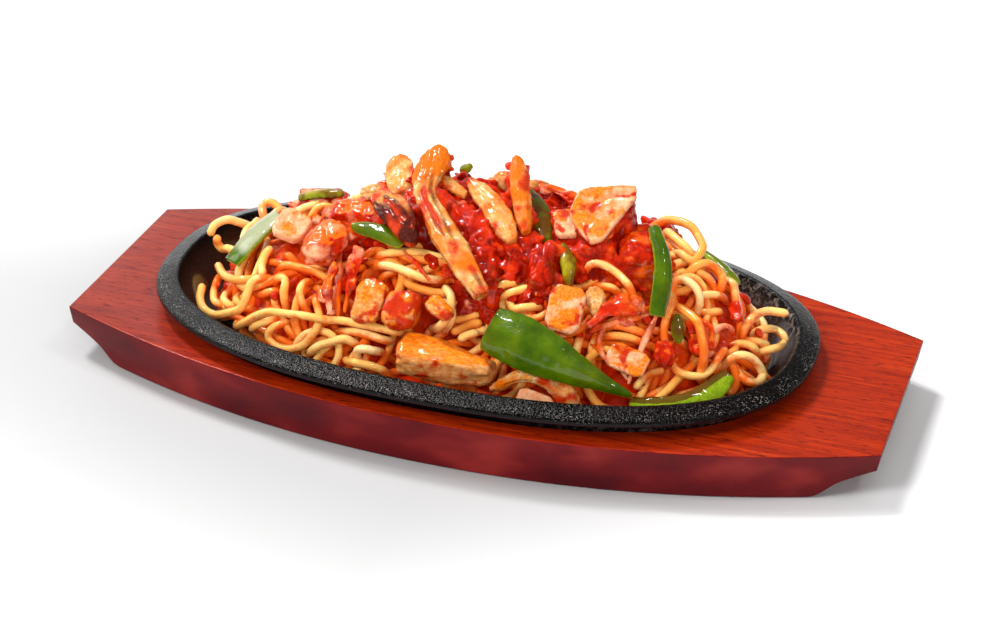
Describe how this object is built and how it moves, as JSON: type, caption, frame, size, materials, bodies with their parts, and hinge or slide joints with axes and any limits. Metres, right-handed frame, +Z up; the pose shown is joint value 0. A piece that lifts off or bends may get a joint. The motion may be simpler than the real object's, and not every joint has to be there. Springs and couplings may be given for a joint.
{
  "type": "spaghetti napolitan on an iron plate",
  "caption": "Heap of spaghetti in tomato sauce with ham, chicken, green pepper and mushroom on an oval cast-iron plate seated in a red-brown wooden board.",
  "frame": {"origin": "middle of the board's flat underside", "axes": "+X along the board and the plate, +Y away from the side the food is seen from, +Z up"},
  "size_m": [0.3, 0.161, 0.0846],
  "materials": {
    "wood": "satin lacquer",
    "iron": "pebbled, seasoned",
    "noodle": "moist, coated in sauce",
    "tomato": "wet, glossy",
    "pepper": "glossy skin",
    "mushroom": "moist",
    "ham": "moist",
    "chicken": "moist"
  },
  "bodies": {
    "root": {"chicken_bit_top": "chicken", "chicken_front": "chicken", "chicken_left": "chicken", "chicken_middle": "chicken", "chicken_rear": "chicken", "chicken_small": "chicken", "ham_fold": "ham", "ham_fold_small": "ham", "ham_front": "ham", "ham_left": "ham", "ham_low": "ham", "ham_rear": "ham", "ham_rear_left": "ham", "ham_square": "ham", "iron_plate": "iron", "mushroom_brown": "mushroom", "mushroom_button": "mushroom", "mushroom_cap_small": "mushroom", "mushroom_crescent": "mushroom", "mushroom_front": "mushroom", "mushroom_leaf": "mushroom", "mushroom_long": "mushroom", "mushroom_pale": "mushroom", "mushroom_rear": "mushroom", "mushroom_stick": "mushroom", "noodles": "noodle", "pepper_back_left": "pepper", "pepper_bit_top": "pepper", "pepper_dark_top": "pepper", "pepper_front": "pepper", "pepper_front_curl": "pepper", "pepper_left": "pepper", "pepper_rear": "pepper", "pepper_rear_right": "pepper", "pepper_right": "pepper", "pepper_small_right": "pepper", "pepper_top_left": "pepper", "pepper_yellow": "pepper", "tomato_back_left": "tomato", "tomato_far_right": "tomato", "tomato_flap": "tomato", "tomato_front": "tomato", "tomato_left": "tomato", "tomato_left_skin": "tomato", "tomato_left_string": "tomato", "tomato_low_right": "tomato", "tomato_middle": "tomato", "tomato_middle_back": "tomato", "tomato_middle_front": "tomato", "tomato_middle_right": "tomato", "tomato_rear": "tomato", "tomato_rear_right": "tomato", "tomato_right": "tomato", "tomato_top": "tomato", "tomato_under_loop": "tomato", "underliner_board": "wood"}
  },
  "joints": []
}
